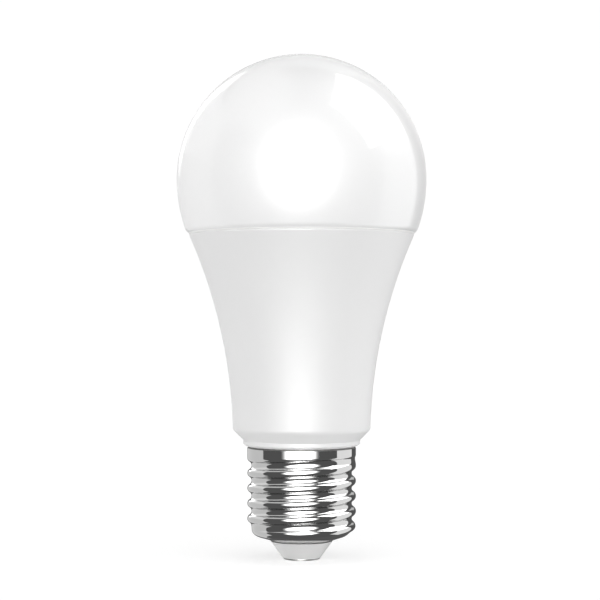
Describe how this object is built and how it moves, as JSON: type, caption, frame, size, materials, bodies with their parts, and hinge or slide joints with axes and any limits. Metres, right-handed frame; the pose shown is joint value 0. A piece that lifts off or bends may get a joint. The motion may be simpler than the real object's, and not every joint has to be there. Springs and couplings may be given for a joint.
{
  "type": "smart light bulb",
  "caption": "Smart LED bulb: round opal globe on a white flared housing with a nickel-plated Edison screw cap, and a radio module inside.",
  "frame": {"origin": "middle of the centre contact's flat end face, the bulb's lowest point with the cap down", "axes": "+Z along the bulb's axis from the cap to the top of the globe; +X towards the side where a crest of the screw thread lies 7.85 mm above the origin; right-handed"},
  "size_m": [0.06, 0.06, 0.121],
  "materials": {
    "opal_globe": "glossy opal white",
    "white_housing": "satin white",
    "cup_aluminium": "satin",
    "white_silicone": "satin",
    "liner_plastic": "satin",
    "nickel_plate": "polished",
    "insulator_plastic": "satin pale grey",
    "thermal_silicone": "matte",
    "white_solder_mask": "satin",
    "zinc_steel": "polished",
    "cool_phosphor": "satin",
    "warm_phosphor": "satin",
    "clear_led_package": "satin",
    "black_solder_mask": "satin",
    "chip_moulding": "matte",
    "crystal_can": "satin",
    "chip_ceramic": "matte",
    "solder": "bright",
    "header_plastic": "satin",
    "pin_gilding": "polished",
    "green_solder_mask": "satin",
    "tinned_wire": "bright",
    "capacitor_sleeve": "satin",
    "blue_epoxy": "satin",
    "ferrite": "matte",
    "enamelled_copper": "polished",
    "yellow_tape": "satin",
    "film_capacitor_case": "satin",
    "resistor_lacquer": "satin",
    "brown_insulation": "satin",
    "blue_insulation": "satin"
  },
  "bodies": {
    "lamp_base": {"housing_shell": "white_housing", "heat_sink_cup": "cup_aluminium", "globe_sealant_bead": "white_silicone", "driver_liner": "liner_plastic", "screw_cap_shell": "nickel_plate", "cap_insulator": "insulator_plastic", "centre_contact": "nickel_plate", "thermal_pad": "thermal_silicone", "led_board": "white_solder_mask", "led_board_screws": "zinc_steel", "cool_white_leds": "cool_phosphor", "warm_white_leds": "warm_phosphor", "colour_leds": "clear_led_package", "radio_module_board": "black_solder_mask", "radio_chip": "chip_moulding", "radio_crystal": "crystal_can", "radio_passives": "chip_ceramic", "radio_solder_joints": "solder", "header_block": "header_plastic", "header_pins": "pin_gilding", "header_solder_joints": "solder", "driver_board": "green_solder_mask", "board_solder_joints": "solder", "component_leads": "tinned_wire", "input_capacitor": "capacitor_sleeve", "output_capacitor": "capacitor_sleeve", "surge_varistor": "blue_epoxy", "noise_choke_core": "ferrite", "noise_choke_winding": "enamelled_copper", "transformer_bobbin": "header_plastic", "transformer_winding": "yellow_tape", "transformer_core": "ferrite", "film_capacitor": "film_capacitor_case", "fusible_resistor": "resistor_lacquer", "driver_ics": "chip_moulding", "bridge_rectifier": "chip_moulding", "chip_legs": "tinned_wire", "power_diodes": "chip_moulding", "surface_resistors": "chip_ceramic", "surface_capacitors": "chip_ceramic", "live_lead": "brown_insulation", "neutral_lead": "blue_insulation", "neutral_solder_joint": "solder"},
    "globe": {"globe_diffuser": "opal_globe"}
  },
  "joints": [
    {"name": "globe_pull_off", "type": "slide", "parent": "lamp_base", "child": "globe", "axis": [0, 0, 1], "range_m": [0, 0.0125]}
  ]
}
